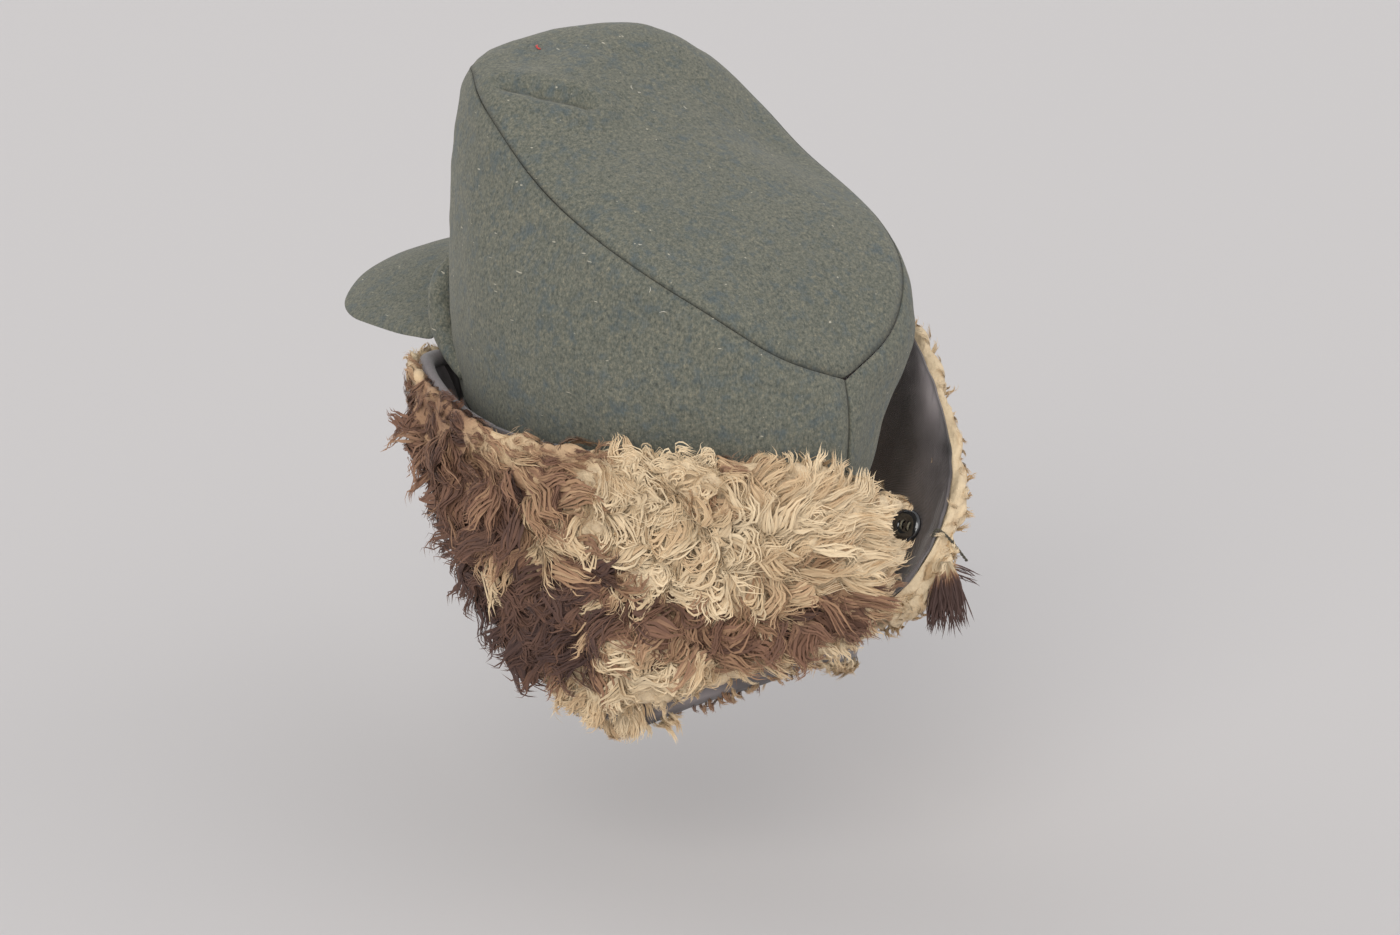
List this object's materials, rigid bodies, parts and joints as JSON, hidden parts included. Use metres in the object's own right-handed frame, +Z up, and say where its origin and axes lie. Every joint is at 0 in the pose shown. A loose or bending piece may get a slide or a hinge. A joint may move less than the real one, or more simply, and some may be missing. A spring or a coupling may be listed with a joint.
{
  "type": "field cap",
  "caption": "Wool cap with a curved cloth peak, a lined ear and neck curtain, and deep fleece flaps folded back round the sides to the nape.",
  "frame": {"origin": "centre of the head opening, where the cap sits on a head", "axes": "+Z up, -Y towards the face and peak, +X towards the wearer's left"},
  "size_m": [0.2496, 0.3178, 0.2893],
  "materials": {
    "wool": "matt grey-green felted wool",
    "lining": "dark grey twill with a slight sheen",
    "cream_fleece": "curly cream sheepskin",
    "brown_fleece": "curly brown and cream sheepskin",
    "button": "polished black",
    "thread": "stiff olive thread"
  },
  "bodies": {
    "root": {"crown_top": "wool", "side_left": "wool", "side_right": "wool", "peak": "wool", "curtain_lining": "lining", "curtain_fleece": "cream_fleece", "left_flap_lining": "lining", "left_flap_fleece": "brown_fleece", "right_flap_lining": "lining", "right_flap_fleece": "cream_fleece", "button": "button", "button_thread": "thread", "thread_tail": "thread"}
  },
  "joints": []
}
